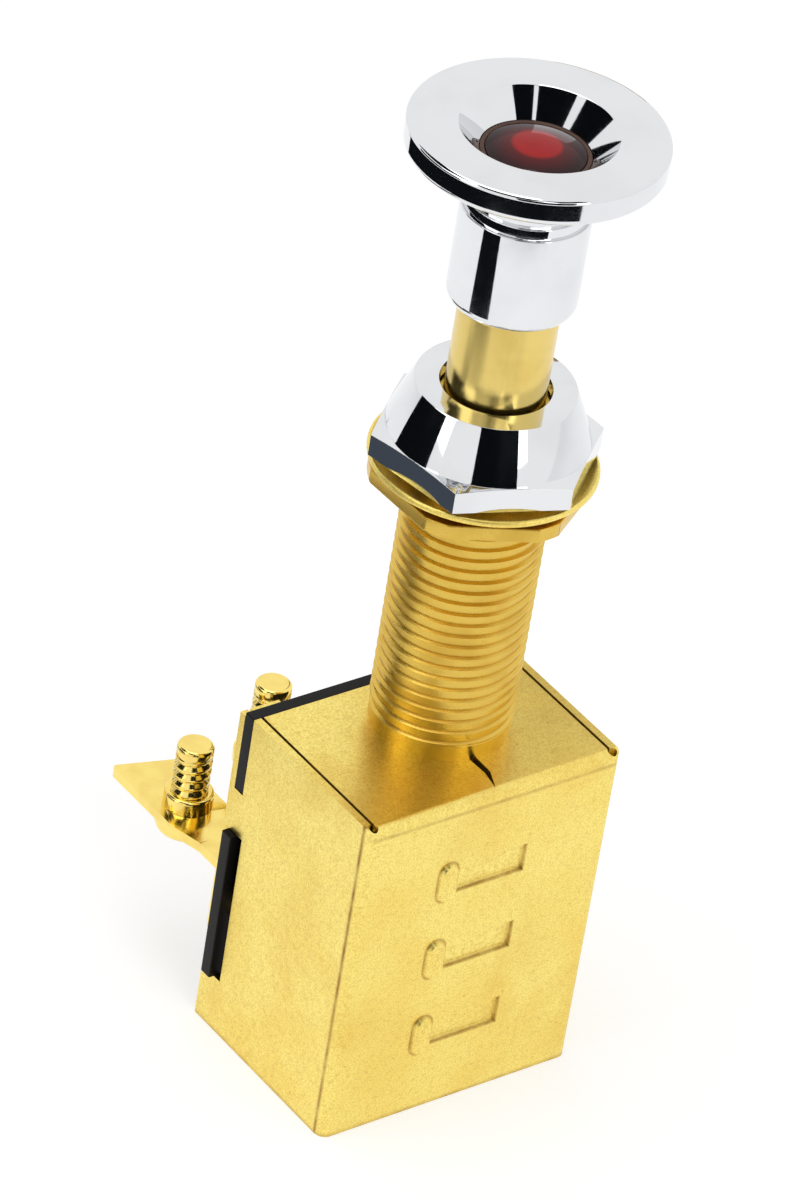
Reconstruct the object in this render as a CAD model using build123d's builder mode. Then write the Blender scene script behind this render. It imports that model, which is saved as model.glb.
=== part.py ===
"""Push-pull switch with a lighted pull knob: folded brass case, threaded panel bushing,
rear terminal board with screw terminals and a plunger that carries the contact bridge.

Millimetres. The plunger's axis is Z, the case stands on z = 0, the stamped front wall
faces -Y and the terminals point to +Y.
"""
import os

from build123d import *

# Case, folded from one sheet of brass
SHEET = 0.9
CASE_WIDTH = 33.6
CASE_HEIGHT = 42.0
AXIS_TO_FRONT = 13.85
AXIS_OFFSET = 1.9
BEND_RADIUS = 1.3
SEAM_GAP = 0.35
SLIT_SHIFT = 0.9
SLIT_WIDTH = 1.2
SLIT_TIP_SHIFT = 0.8
RELIEF_RADIUS = 0.55
EAR_BOTTOM_TOP = 6.7
EAR_MIDDLE_DROP = 15.6
EAR_MIDDLE_LENGTH = 5.4
FLAP_WIDTH = 5.0
FLAP_TOP_GAP = 0.5

# Marks stamped into the front wall
MARK_COUNT = 3
MARK_PITCH = 10.55
MARK_FIRST_DROP = 31.5
MARK_DEPTH = 0.5
MARK_WALL_ANGLE = 35
MARK_BAR_LENGTH = 9.0
MARK_BAR_HEIGHT = 3.7
MARK_BAR_X = 0.9
MARK_PILL_WIDTH = 2.6
MARK_PILL_HEIGHT = 5.3
MARK_PILL_GAP = 0.2

# Terminal board
BOARD_THICKNESS = 1.6
BOARD_FRONT_Y = 8.2
BOARD_TAB = 0.8
BOARD_FIT = 0.1
BOARD_GROOVE = 1.0

# Bushing and the nuts on it
THREAD_RADIUS = 7.94
BUSHING_END_GAP = 0.4
BUSHING_BORE_GAP = 0.06
NECK_HEIGHT = 2.0
NECK_RADIUS = 7.75
TENON_RADIUS = 6.7
PEEN_RADIUS = 7.0
PEEN_HEIGHT = 0.8
NUT_FIT = 0.05
NUT_ACROSS_FLATS = 22.2
LOCK_NUT_HEIGHT = 1.7
LOCK_NUT_CORNER = 0.96
LOCK_NUT_RISE = 31.4
LOCK_NUT_TURN = 31.2
WASHER_OVERHANG = 1.35
WASHER_THICKNESS = 0.8
WASHER_DISH = 1.0
PANEL_GAP = 0.3
BEZEL_NUT_HEIGHT = 8.7
BEZEL_NUT_BAND = 2.0
BEZEL_NUT_LEDGE = 0.6
BEZEL_NUT_BULGE = 0.35
BEZEL_NUT_TURN = 38.8
BEZEL_NUT_TOP_RADIUS = 8.7
BEZEL_NUT_LIP = 1.4
BEZEL_NUT_HOLE_GAP = 0.6

# Plunger
TUBE_RADIUS = 5.45
TUBE_WALL = 0.9
SPIGOT_RADIUS = 3.6
TUBE_EXPOSED = 10.5
COLLAR_RADIUS = 7.0
COLLAR_HEIGHT = 13.0
COLLAR_EDGE = 1.4
COLLAR_STEP = 0.35
COLLAR_STEP_HEIGHT = 1.2
RIM_RADIUS = 13.85
RIM_THICKNESS = 3.2
RIM_EDGE_UPPER = 0.5
RIM_EDGE_LOWER = 0.9
FLARE_HEIGHT = 5.0
RECESS_TOP_RADIUS = 8.5
RECESS_DEPTH = 2.8
LENS_RADIUS = 5.3
LENS_DOME = 1.1
LENS_SKIRT = 2.4
LENS_WALL = 1.1
LENS_RING_WALL = 0.55
FIT = 0.05

# Lamp inside the plunger
LAMP_GLASS_RADIUS = 2.9
LAMP_GLASS_LENGTH = 9.0
LAMP_BASE_RADIUS = 4.4
LAMP_BASE_LENGTH = 9.0
LAMP_CONTACT_RADIUS = 1.6
LAMP_CONTACT_HEIGHT = 1.2
LAMP_DROP = 4.0
SPRING_WIRE = 0.5
LAMP_SPRING_RADIUS = 2.6
LAMP_SPRING_LENGTH = 8.0
INSULATOR_HEIGHT = 3.0
LEAD_RADIUS = 0.6

# Carriage and the moving contact
CARRIAGE_HEIGHT = 25.0
CARRIAGE_SIDE_GAP = 0.35
CARRIAGE_FRONT_GAP = 1.6
CARRIAGE_REAR_GAP = 2.4
CARRIAGE_STOP_GAP = 0.3
RING_RADIUS = 5.2
RING_HEIGHT = 0.9
GROOVE_DEPTH = 0.45
BRIDGE_HEIGHT = 6.0
BRIDGE_THICKNESS = 1.0
BRIDGE_GAP = 0.35
CONTACT_SPRING_RADIUS = 1.6
CONTACT_SPRING_SPREAD = 9.5
SPRING_POCKET_DEPTH = 3.2
DETENT_BALL_RADIUS = 1.9
DETENT_GAP = 0.25
DETENT_POCKET_DEPTH = 5.6

# Terminals
TAB_WIDTH = 7.8
TAB_ROOT_WIDTH = 5.6
TAB_ROOT_LENGTH = 4.5
TAB_FLARE = 3.9
TAB_CORNER = 0.5
TAB_ROUND_RADIUS = 3.2
TAB_THICKNESS = 1.2
TAB_LENGTH = 20.5
TAB_SLANT = 2.3
TAB_FOOT_HEIGHT = 8.0
TERMINAL_LEFT_INSET = 2.9
TERMINAL_MIDDLE_SHIFT = -4.3
TERMINAL_RIGHT_INSET = 6.3
TERMINAL_DROP = 21.0
TERMINAL_MIDDLE_DROP = 15.6
COLLAR_OUTER_RADIUS = 2.8
EXTRUDED_COLLAR_HEIGHT = 2.0
STUD_RADIUS = 2.08
STUD_RISE = 8.2
STUD_CHAMFER = 0.5
STUD_UNDERCUT = 0.42
STUD_FROM_BOARD = 11.1
SCREW_HEAD_RADIUS = 3.4
SCREW_HEAD_HEIGHT = 2.2
SCREW_FIT = 0.03
RIVET_RADIUS = 1.5
RIVET_HEAD_RADIUS = 2.2
RIVET_HEAD_HEIGHT = 0.6
RIVET_FIT = 0.03

# Levels and planes that follow from the sizes above
CASE_LEFT = -CASE_WIDTH / 2 - AXIS_OFFSET
CASE_RIGHT = CASE_WIDTH / 2 - AXIS_OFFSET
CASE_MIDDLE = -AXIS_OFFSET
FRONT_Y = -AXIS_TO_FRONT
BOARD_BACK_Y = BOARD_FRONT_Y + BOARD_THICKNESS
REAR_Y = BOARD_BACK_Y + SHEET
EAR_MIDDLE_BOTTOM = CASE_HEIGHT - EAR_MIDDLE_DROP
EAR_MIDDLE_TOP = EAR_MIDDLE_BOTTOM + EAR_MIDDLE_LENGTH
MARK_FIRST_Z = CASE_HEIGHT - MARK_FIRST_DROP
LOCK_NUT_CORNER_RADIUS = NUT_ACROSS_FLATS / 2 + LOCK_NUT_CORNER
WASHER_RADIUS = NUT_ACROSS_FLATS / 2 + WASHER_OVERHANG
BEZEL_NUT_HOLE_RADIUS = TUBE_RADIUS + BEZEL_NUT_HOLE_GAP
TERMINAL_X = (
    CASE_LEFT + TERMINAL_LEFT_INSET,
    CASE_MIDDLE + TERMINAL_MIDDLE_SHIFT,
    CASE_RIGHT - TERMINAL_RIGHT_INSET,
)
TERMINAL_Z = (
    CASE_HEIGHT - TERMINAL_DROP,
    CASE_HEIGHT - TERMINAL_MIDDLE_DROP,
    CASE_HEIGHT - TERMINAL_DROP,
)
CASE_ROOF = CASE_HEIGHT - SHEET
PEEN_Z = CASE_ROOF - PEEN_HEIGHT
TUBE_BORE = TUBE_RADIUS - TUBE_WALL
LOCK_NUT_Z = CASE_HEIGHT + LOCK_NUT_RISE
WASHER_Z = LOCK_NUT_Z + LOCK_NUT_HEIGHT
WASHER_TOP = WASHER_Z + WASHER_THICKNESS + WASHER_DISH
BEZEL_NUT_Z = WASHER_TOP + PANEL_GAP
BEZEL_NUT_TOP = BEZEL_NUT_Z + BEZEL_NUT_HEIGHT
BUSHING_TOP = BEZEL_NUT_TOP - BEZEL_NUT_LIP - BUSHING_END_GAP
COLLAR_Z = BEZEL_NUT_TOP + TUBE_EXPOSED
COLLAR_TOP = COLLAR_Z + COLLAR_HEIGHT
RIM_Z = COLLAR_TOP + FLARE_HEIGHT
RIM_TOP = RIM_Z + RIM_THICKNESS
CARRIAGE_TOP = PEEN_Z - CARRIAGE_STOP_GAP
CARRIAGE_Z = CARRIAGE_TOP - CARRIAGE_HEIGHT
CARRIAGE_LEFT = CASE_LEFT + SHEET + CARRIAGE_SIDE_GAP
CARRIAGE_RIGHT = CASE_RIGHT - SHEET - CARRIAGE_SIDE_GAP
CARRIAGE_FRONT = FRONT_Y + SHEET + MARK_DEPTH + CARRIAGE_FRONT_GAP
CARRIAGE_REAR = BOARD_FRONT_Y - CARRIAGE_REAR_GAP
TUBE_BOTTOM = CARRIAGE_Z - RING_HEIGHT - GROOVE_DEPTH
RECESS_FLOOR = RIM_TOP - RECESS_DEPTH
LENS_BASE = RECESS_FLOOR - LENS_SKIRT
TUBE_TOP = LENS_BASE - LENS_RING_WALL
LAMP_TOP = LENS_BASE - LAMP_DROP
LAMP_BASE_TOP = LAMP_TOP - LAMP_GLASS_LENGTH
LAMP_CONTACT_TOP = LAMP_BASE_TOP - LAMP_BASE_LENGTH
SPRING_TOP = LAMP_CONTACT_TOP - LAMP_CONTACT_HEIGHT
SPRING_BOTTOM = SPRING_TOP - LAMP_SPRING_LENGTH
STUD_Y = BOARD_BACK_Y + STUD_FROM_BOARD
STUD_ROOT_RADIUS = STUD_RADIUS - STUD_UNDERCUT
RIVET_Z = [top - TAB_THICKNESS - TAB_FOOT_HEIGHT / 2 for top in TERMINAL_Z]
BRIDGE_X = (TERMINAL_X[0] + TERMINAL_X[-1]) / 2
BRIDGE_WIDTH = TERMINAL_X[-1] - TERMINAL_X[0] + 2 * RIVET_RADIUS
BRIDGE_Z = (min(RIVET_Z) + max(RIVET_Z)) / 2
CONTACT_SPRING_X = (BRIDGE_X - CONTACT_SPRING_SPREAD, BRIDGE_X + CONTACT_SPRING_SPREAD)
BRIDGE_REAR = BOARD_FRONT_Y - RIVET_HEAD_HEIGHT - BRIDGE_GAP
DETENT_Z = MARK_FIRST_Z + MARK_PITCH * 1.5
DETENT_Y = FRONT_Y + SHEET + MARK_DEPTH + DETENT_GAP + DETENT_BALL_RADIUS


def keep(part, name):
    """Label a finished piece and write it as its own file."""
    part.label = name
    export_step(part, f"parts/{name}.step")


def coil(radius, wire, bottom, top, turns):
    """Round-wire compression spring on the Z axis, between two levels."""
    rise = top - bottom - wire
    with BuildPart() as spring:
        with BuildLine() as path:
            Helix(pitch=rise / turns, height=rise, radius=radius, center=(0, 0, bottom + wire / 2))
        with BuildSketch(Plane(origin=path.line @ 0, z_dir=path.line % 0)):
            Circle(wire / 2)
        sweep(path=path.line, is_frenet=True)
    return spring.part


os.makedirs("parts", exist_ok=True)

# Case: a box folded from a cross-shaped blank, open below and behind
with BuildPart() as case:
    with BuildSketch(Plane.XY):
        with Locations((CASE_MIDDLE, (FRONT_Y + REAR_Y) / 2)):
            Rectangle(CASE_WIDTH, REAR_Y - FRONT_Y)
    extrude(amount=CASE_HEIGHT)
    front = case.faces().sort_by(Axis.Y)[0]
    fillet([e for e in front.edges() if e.center().Z > CASE_HEIGHT / 4], BEND_RADIUS)
    open_faces = [case.faces().sort_by(Axis.Z)[0], case.faces().sort_by(Axis.Y)[-1]]
    offset(amount=-SHEET, openings=open_faces)
    # Rear edges of the side walls step back to the board, leaving the ears
    with BuildSketch(Plane.YZ.offset(CASE_MIDDLE)):
        with Locations((BOARD_FRONT_Y, CASE_HEIGHT)):
            Rectangle(SHEET + BOARD_THICKNESS, CASE_HEIGHT - EAR_MIDDLE_TOP, align=(Align.MIN, Align.MAX))
        with Locations((BOARD_FRONT_Y - BOARD_GROOVE, EAR_BOTTOM_TOP)):
            Rectangle(
                SHEET + BOARD_THICKNESS + BOARD_GROOVE,
                EAR_MIDDLE_BOTTOM - EAR_BOTTOM_TOP,
                align=(Align.MIN, Align.MIN),
            )
    extrude(amount=CASE_WIDTH, both=True, mode=Mode.SUBTRACT)
    # Flaps of the middle ears, folded in behind the board
    with BuildSketch(Plane.XZ.offset(-REAR_Y)) as flaps:
        for side, align in ((CASE_LEFT, Align.MIN), (CASE_RIGHT, Align.MAX)):
            with Locations((side, EAR_MIDDLE_BOTTOM)):
                Rectangle(
                    FLAP_WIDTH,
                    CASE_HEIGHT - FLAP_TOP_GAP - EAR_MIDDLE_BOTTOM,
                    align=(align, Align.MIN),
                )
    extrude(amount=SHEET)
    # Open seams beside the top flap, bend reliefs at its corners and the slit to the bushing
    for side, inward, align in ((CASE_LEFT, 1, Align.MIN), (CASE_RIGHT, -1, Align.MAX)):
        with BuildSketch(Plane.XY.offset(CASE_HEIGHT)):
            with Locations((side + inward * SHEET, FRONT_Y + BEND_RADIUS)):
                Rectangle(SEAM_GAP, REAR_Y - FRONT_Y, align=(align, Align.MIN))
        extrude(amount=-SHEET - BEND_RADIUS, mode=Mode.SUBTRACT)
        with BuildSketch(Plane.XY.offset(CASE_HEIGHT)):
            with Locations((side + inward * SHEET, FRONT_Y + SHEET)):
                Circle(RELIEF_RADIUS)
        extrude(amount=-SHEET - BEND_RADIUS, mode=Mode.SUBTRACT)
    with BuildSketch(Plane.XY.offset(CASE_HEIGHT)):
        Circle(TENON_RADIUS + FIT)
        Polygon(
            (-SLIT_SHIFT - SLIT_WIDTH / 2, -TENON_RADIUS / 2),
            (-SLIT_SHIFT - SLIT_WIDTH / 4, (FRONT_Y - TENON_RADIUS) / 2),
            (-SLIT_SHIFT - SLIT_TIP_SHIFT, FRONT_Y + SHEET),
            (-SLIT_SHIFT + SLIT_WIDTH / 3, (FRONT_Y - TENON_RADIUS) / 2),
            (-SLIT_SHIFT + SLIT_WIDTH / 2, -TENON_RADIUS / 2),
            align=None,
        )
    extrude(amount=-SHEET, mode=Mode.SUBTRACT)
    # Stamped marks: a pressed-in bar beside a raised pill, one pair for each position
    with BuildSketch(Plane.XZ.offset(-FRONT_Y)) as bars:
        for index in range(MARK_COUNT):
            with Locations((CASE_MIDDLE + MARK_BAR_X, MARK_FIRST_Z + index * MARK_PITCH)):
                Rectangle(MARK_BAR_LENGTH, MARK_BAR_HEIGHT)
    extrude(amount=-MARK_DEPTH, taper=MARK_WALL_ANGLE, mode=Mode.SUBTRACT)
    with BuildSketch(Plane.XZ.offset(-FRONT_Y - SHEET)) as ridges:
        for index in range(MARK_COUNT):
            with Locations((CASE_MIDDLE + MARK_BAR_X, MARK_FIRST_Z + index * MARK_PITCH)):
                Rectangle(MARK_BAR_LENGTH, MARK_BAR_HEIGHT)
    extrude(amount=-MARK_DEPTH, taper=MARK_WALL_ANGLE)
    pill_x = CASE_MIDDLE + MARK_BAR_X - MARK_BAR_LENGTH / 2 - MARK_PILL_GAP - MARK_PILL_WIDTH / 2
    with BuildSketch(Plane.XZ.offset(-FRONT_Y)) as pills:
        for index in range(MARK_COUNT):
            with Locations((pill_x, MARK_FIRST_Z + index * MARK_PITCH)):
                SlotOverall(MARK_PILL_HEIGHT, MARK_PILL_WIDTH, rotation=90)
    extrude(amount=MARK_DEPTH, taper=MARK_WALL_ANGLE)
keep(case.part, "case")

# Bushing: threaded barrel with a plain neck, peened into the case's top
with BuildPart() as bushing:
    bore = TUBE_RADIUS + BUSHING_BORE_GAP
    with BuildSketch(Plane.XZ):
        with BuildLine():
            Polyline(
                (bore, PEEN_Z),
                (PEEN_RADIUS, PEEN_Z),
                (PEEN_RADIUS, CASE_ROOF),
                (TENON_RADIUS, CASE_ROOF),
                (TENON_RADIUS, CASE_HEIGHT),
                (NECK_RADIUS, CASE_HEIGHT),
                (NECK_RADIUS, CASE_HEIGHT + NECK_HEIGHT),
                (THREAD_RADIUS, CASE_HEIGHT + NECK_HEIGHT),
                (THREAD_RADIUS, BUSHING_TOP),
                (bore, BUSHING_TOP),
                close=True,
            )
        make_face()
    revolve(axis=Axis.Z)
    chamfer(bushing.edges().filter_by(GeomType.CIRCLE).group_by(Axis.Z)[-1].sort_by(SortBy.RADIUS)[-1], STUD_CHAMFER)
keep(bushing.part, "bushing")

# Lock nut: thin hexagon with its corners turned off
with BuildPart() as lock_nut:
    with BuildSketch(Plane.XY.offset(LOCK_NUT_Z)):
        RegularPolygon(NUT_ACROSS_FLATS / 2, 6, major_radius=False, rotation=LOCK_NUT_TURN)
        Circle(LOCK_NUT_CORNER_RADIUS, mode=Mode.INTERSECT)
        Circle(THREAD_RADIUS + NUT_FIT, mode=Mode.SUBTRACT)
    extrude(amount=LOCK_NUT_HEIGHT)
keep(lock_nut.part, "lock_nut")

# Lock washer: dished ring that grips the back of the panel
with BuildPart() as lock_washer:
    hole = THREAD_RADIUS + NUT_FIT
    with BuildSketch(Plane.XZ):
        with BuildLine():
            Polyline(
                (hole, WASHER_Z),
                (LOCK_NUT_CORNER_RADIUS - 2 * WASHER_DISH, WASHER_Z),
                (WASHER_RADIUS, WASHER_Z + WASHER_DISH),
                (WASHER_RADIUS, WASHER_Z + WASHER_DISH + WASHER_THICKNESS),
                (LOCK_NUT_CORNER_RADIUS - 2 * WASHER_DISH, WASHER_Z + WASHER_THICKNESS),
                (hole, WASHER_Z + WASHER_THICKNESS),
                close=True,
            )
        make_face()
    revolve(axis=Axis.Z)
keep(lock_washer.part, "lock_washer")

# Bezel nut: hexagon under a slightly domed cone, with small ledges left at the corners
with BuildPart() as bezel_nut:
    with BuildSketch(Plane.XY.offset(BEZEL_NUT_Z)):
        RegularPolygon(NUT_ACROSS_FLATS / 2, 6, major_radius=False, rotation=BEZEL_NUT_TURN)
    extrude(amount=BEZEL_NUT_HEIGHT)
    corner = NUT_ACROSS_FLATS / 3**0.5
    cone_foot = (NUT_ACROSS_FLATS / 2 - FIT, BEZEL_NUT_Z + BEZEL_NUT_BAND + BEZEL_NUT_LEDGE)
    cone_top = (BEZEL_NUT_TOP_RADIUS, BEZEL_NUT_TOP)
    cone_middle = (
        (cone_foot[0] + cone_top[0]) / 2 + BEZEL_NUT_BULGE,
        (cone_foot[1] + cone_top[1]) / 2 + BEZEL_NUT_BULGE / 2,
    )
    with BuildSketch(Plane.XZ):
        with BuildLine():
            Polyline(
                cone_top,
                (0, BEZEL_NUT_TOP),
                (0, BEZEL_NUT_Z),
                (corner, BEZEL_NUT_Z),
                (corner, BEZEL_NUT_Z + BEZEL_NUT_BAND),
                cone_foot,
            )
            ThreePointArc(cone_foot, cone_middle, cone_top)
        make_face()
    revolve(axis=Axis.Z, mode=Mode.INTERSECT)
    with BuildSketch(Plane.XY.offset(BEZEL_NUT_Z)):
        Circle(THREAD_RADIUS + NUT_FIT)
    extrude(amount=BEZEL_NUT_HEIGHT - BEZEL_NUT_LIP, mode=Mode.SUBTRACT)
    with BuildSketch(Plane.XY.offset(BEZEL_NUT_Z)):
        Circle(BEZEL_NUT_HOLE_RADIUS)
    extrude(amount=BEZEL_NUT_HEIGHT, mode=Mode.SUBTRACT)
keep(bezel_nut.part, "bezel_nut")

# Terminal board: laminate plate with tabs that stand out between the case's ears
rivet_places = list(zip(TERMINAL_X, RIVET_Z))
with BuildPart() as terminal_board:
    with BuildSketch(Plane.XZ.offset(-BOARD_FRONT_Y)):
        with Locations((CASE_MIDDLE, 0)):
            inner = CASE_WIDTH - 2 * (SHEET + BOARD_FIT)
            Rectangle(inner, CASE_HEIGHT, align=(Align.CENTER, Align.MIN))
        with Locations((CASE_MIDDLE, EAR_BOTTOM_TOP + BOARD_FIT)):
            Rectangle(
                CASE_WIDTH + 2 * BOARD_TAB,
                EAR_MIDDLE_BOTTOM - EAR_BOTTOM_TOP - 2 * BOARD_FIT,
                align=(Align.CENTER, Align.MIN),
            )
        with Locations((CASE_MIDDLE, CASE_HEIGHT)):
            Rectangle(
                CASE_WIDTH,
                CASE_HEIGHT - EAR_MIDDLE_TOP - BOARD_FIT,
                align=(Align.CENTER, Align.MAX),
            )
        with Locations(*rivet_places):
            Circle(RIVET_RADIUS + RIVET_FIT, mode=Mode.SUBTRACT)
    extrude(amount=-BOARD_THICKNESS)
keep(terminal_board.part, "terminal_board")


def terminal(x, top, pointed):
    """Angle tab: a foot riveted flat on the board and a tongue with an extruded collar.

    A pointed tongue flares behind its root and ends in a slant, a plain one ends round its collar.
    """
    root = TAB_ROOT_WIDTH / 2
    half = TAB_WIDTH / 2
    flare_y = BOARD_BACK_Y + TAB_ROOT_LENGTH + TAB_FLARE
    tip_y = BOARD_BACK_Y + TAB_LENGTH
    with BuildPart() as tab:
        with BuildSketch(Plane.XY.offset(top)) as outline:
            if pointed:
                with BuildLine():
                    Polyline(
                        (x - root, BOARD_BACK_Y),
                        (x - root, BOARD_BACK_Y + TAB_ROOT_LENGTH),
                        (x - half, flare_y),
                        (x - half, tip_y),
                        (x + half, tip_y - TAB_SLANT),
                        (x + half, flare_y),
                        (x + root, BOARD_BACK_Y + TAB_ROOT_LENGTH),
                        (x + root, BOARD_BACK_Y),
                        close=True,
                    )
                make_face()
                fillet(outline.vertices().group_by(Axis.Y)[1:], TAB_CORNER)
            else:
                with Locations((x, BOARD_BACK_Y)):
                    Rectangle(TAB_ROOT_WIDTH, STUD_FROM_BOARD, align=(Align.CENTER, Align.MIN))
                with Locations((x, STUD_Y)):
                    Circle(TAB_ROUND_RADIUS)
        extrude(amount=-TAB_THICKNESS)
        with BuildSketch(Plane.XZ.offset(-BOARD_BACK_Y)):
            with Locations((x, top)):
                Rectangle(TAB_ROOT_WIDTH, TAB_THICKNESS + TAB_FOOT_HEIGHT, align=(Align.CENTER, Align.MAX))
        extrude(amount=-TAB_THICKNESS)
        with BuildSketch(Plane.XY.offset(top)):
            with Locations((x, STUD_Y)):
                Circle(COLLAR_OUTER_RADIUS)
        extrude(amount=EXTRUDED_COLLAR_HEIGHT)
        rim = tab.faces().sort_by(Axis.Z)[-1].edges()
        fillet(rim, TAB_THICKNESS / 3)
        with Locations((x, STUD_Y, top)):
            Hole(STUD_ROOT_RADIUS + SCREW_FIT)
        with Locations(Plane.XZ.offset(-BOARD_BACK_Y) * Location((x, top - TAB_THICKNESS - TAB_FOOT_HEIGHT / 2))):
            Hole(RIVET_RADIUS + RIVET_FIT, depth=2 * TAB_THICKNESS)
    return tab.part


for name, x, top in zip(("terminal_left", "terminal_middle", "terminal_right"), TERMINAL_X, TERMINAL_Z):
    keep(terminal(x, top, pointed=name != "terminal_middle"), name)

# Terminal screws: round heads below the tabs, shanks standing up through the collars
with BuildPart() as terminal_screws:
    for x, top in zip(TERMINAL_X, TERMINAL_Z):
        with BuildSketch(Plane.XY.offset(top - TAB_THICKNESS)):
            with Locations((x, STUD_Y)):
                Circle(SCREW_HEAD_RADIUS)
        extrude(amount=-SCREW_HEAD_HEIGHT)
        with BuildSketch(Plane.XY.offset(top - TAB_THICKNESS)):
            with Locations((x, STUD_Y)):
                Circle(STUD_ROOT_RADIUS)
        extrude(amount=TAB_THICKNESS + EXTRUDED_COLLAR_HEIGHT)
        with BuildSketch(Plane.XY.offset(top + EXTRUDED_COLLAR_HEIGHT)):
            with Locations((x, STUD_Y)):
                Circle(STUD_RADIUS)
        extrude(amount=STUD_RISE - EXTRUDED_COLLAR_HEIGHT)
    tips = terminal_screws.faces().filter_by(Axis.Z).filter_by(lambda f: f.center().Z > CASE_HEIGHT / 2)
    ends = [f for f in tips if f.area < 4 * STUD_RADIUS**2 and f.normal_at().Z > 0]
    chamfer([f.edges()[0] for f in ends], STUD_CHAMFER)
keep(terminal_screws.part, "terminal_screws")

# Contact rivets: hold the terminals and face the bridge with flat heads
with BuildPart() as contact_rivets:
    for x, z in rivet_places:
        with BuildSketch(Plane.XZ.offset(-BOARD_FRONT_Y)):
            with Locations((x, z)):
                Circle(RIVET_HEAD_RADIUS)
        extrude(amount=RIVET_HEAD_HEIGHT)
        with BuildSketch(Plane.XZ.offset(-BOARD_FRONT_Y)):
            with Locations((x, z)):
                Circle(RIVET_RADIUS)
        extrude(amount=-BOARD_THICKNESS - TAB_THICKNESS)
        with BuildSketch(Plane.XZ.offset(-BOARD_BACK_Y - TAB_THICKNESS)):
            with Locations((x, z)):
                Circle(RIVET_HEAD_RADIUS)
        extrude(amount=-RIVET_HEAD_HEIGHT)
keep(contact_rivets.part, "contact_rivets")

# Plunger tube: runs in the bushing, carries knob and lamp, and steps down to a spigot
with BuildPart() as plunger_tube:
    with BuildSketch(Plane.XZ):
        with BuildLine():
            Polyline(
                (SPIGOT_RADIUS - TUBE_WALL, TUBE_BOTTOM),
                (SPIGOT_RADIUS, TUBE_BOTTOM),
                (SPIGOT_RADIUS, CARRIAGE_Z - RING_HEIGHT),
                (SPIGOT_RADIUS - GROOVE_DEPTH, CARRIAGE_Z - RING_HEIGHT),
                (SPIGOT_RADIUS - GROOVE_DEPTH, CARRIAGE_Z),
                (SPIGOT_RADIUS, CARRIAGE_Z),
                (SPIGOT_RADIUS, CARRIAGE_TOP),
                (TUBE_RADIUS, CARRIAGE_TOP),
                (TUBE_RADIUS, TUBE_TOP),
                (TUBE_BORE, TUBE_TOP),
                (TUBE_BORE, CARRIAGE_TOP + TUBE_WALL),
                (SPIGOT_RADIUS - TUBE_WALL, CARRIAGE_TOP + TUBE_WALL),
                close=True,
            )
        make_face()
    revolve(axis=Axis.Z)
keep(plunger_tube.part, "plunger_tube")

# Knob collar: rounded sleeve with a small step at its top
with BuildPart() as knob_collar:
    with BuildSketch(Plane.XY.offset(COLLAR_Z)):
        Circle(COLLAR_RADIUS)
    extrude(amount=COLLAR_HEIGHT - COLLAR_STEP_HEIGHT)
    fillet(knob_collar.edges().sort_by(Axis.Z)[0], COLLAR_EDGE)
    with BuildSketch(Plane.XY.offset(COLLAR_TOP - COLLAR_STEP_HEIGHT)):
        Circle(COLLAR_RADIUS - COLLAR_STEP)
    extrude(amount=COLLAR_STEP_HEIGHT)
    with BuildSketch(Plane.XY.offset(COLLAR_Z)):
        Circle(TUBE_RADIUS + FIT)
    extrude(amount=COLLAR_HEIGHT, mode=Mode.SUBTRACT)
keep(knob_collar.part, "knob_collar")

# Knob bezel: neck that flares into a flat rim round a conical recess
with BuildPart() as knob_bezel:
    neck = COLLAR_RADIUS - 2 * COLLAR_STEP
    lens_hole = LENS_RADIUS + LENS_RING_WALL + 2 * FIT
    with BuildSketch(Plane.XZ):
        with BuildLine():
            Line((TUBE_RADIUS + FIT, COLLAR_TOP), (neck, COLLAR_TOP))
            flare = Spline(
                (neck, COLLAR_TOP),
                (RIM_RADIUS - RIM_EDGE_LOWER, RIM_Z),
                tangents=((0, 1), (1, 0.1)),
            )
            RadiusArc(flare @ 1, (RIM_RADIUS, RIM_Z + RIM_EDGE_LOWER), -RIM_EDGE_LOWER)
            Line((RIM_RADIUS, RIM_Z + RIM_EDGE_LOWER), (RIM_RADIUS, RIM_TOP - RIM_EDGE_UPPER))
            RadiusArc((RIM_RADIUS, RIM_TOP - RIM_EDGE_UPPER), (RIM_RADIUS - RIM_EDGE_UPPER, RIM_TOP), -RIM_EDGE_UPPER)
            Polyline(
                (RIM_RADIUS - RIM_EDGE_UPPER, RIM_TOP),
                (RECESS_TOP_RADIUS, RIM_TOP),
                (lens_hole, RECESS_FLOOR),
                (lens_hole, LENS_BASE - LENS_RING_WALL),
                (TUBE_RADIUS + FIT, LENS_BASE - LENS_RING_WALL),
                (TUBE_RADIUS + FIT, COLLAR_TOP),
            )
        make_face()
    revolve(axis=Axis.Z)
keep(knob_bezel.part, "knob_bezel")

# Lens ring: dark cup that seats the lens in the bezel
with BuildPart() as lens_ring:
    with BuildSketch(Plane.XZ):
        with BuildLine():
            ring_outer = LENS_RADIUS + FIT + LENS_RING_WALL
            Polyline(
                (TUBE_BORE, LENS_BASE - LENS_RING_WALL),
                (ring_outer, LENS_BASE - LENS_RING_WALL),
                (ring_outer, RECESS_FLOOR),
                (LENS_RADIUS + FIT, RECESS_FLOOR),
                (LENS_RADIUS + FIT, LENS_BASE),
                (TUBE_BORE, LENS_BASE),
                close=True,
            )
        make_face()
    revolve(axis=Axis.Z)
keep(lens_ring.part, "lens_ring")

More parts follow.
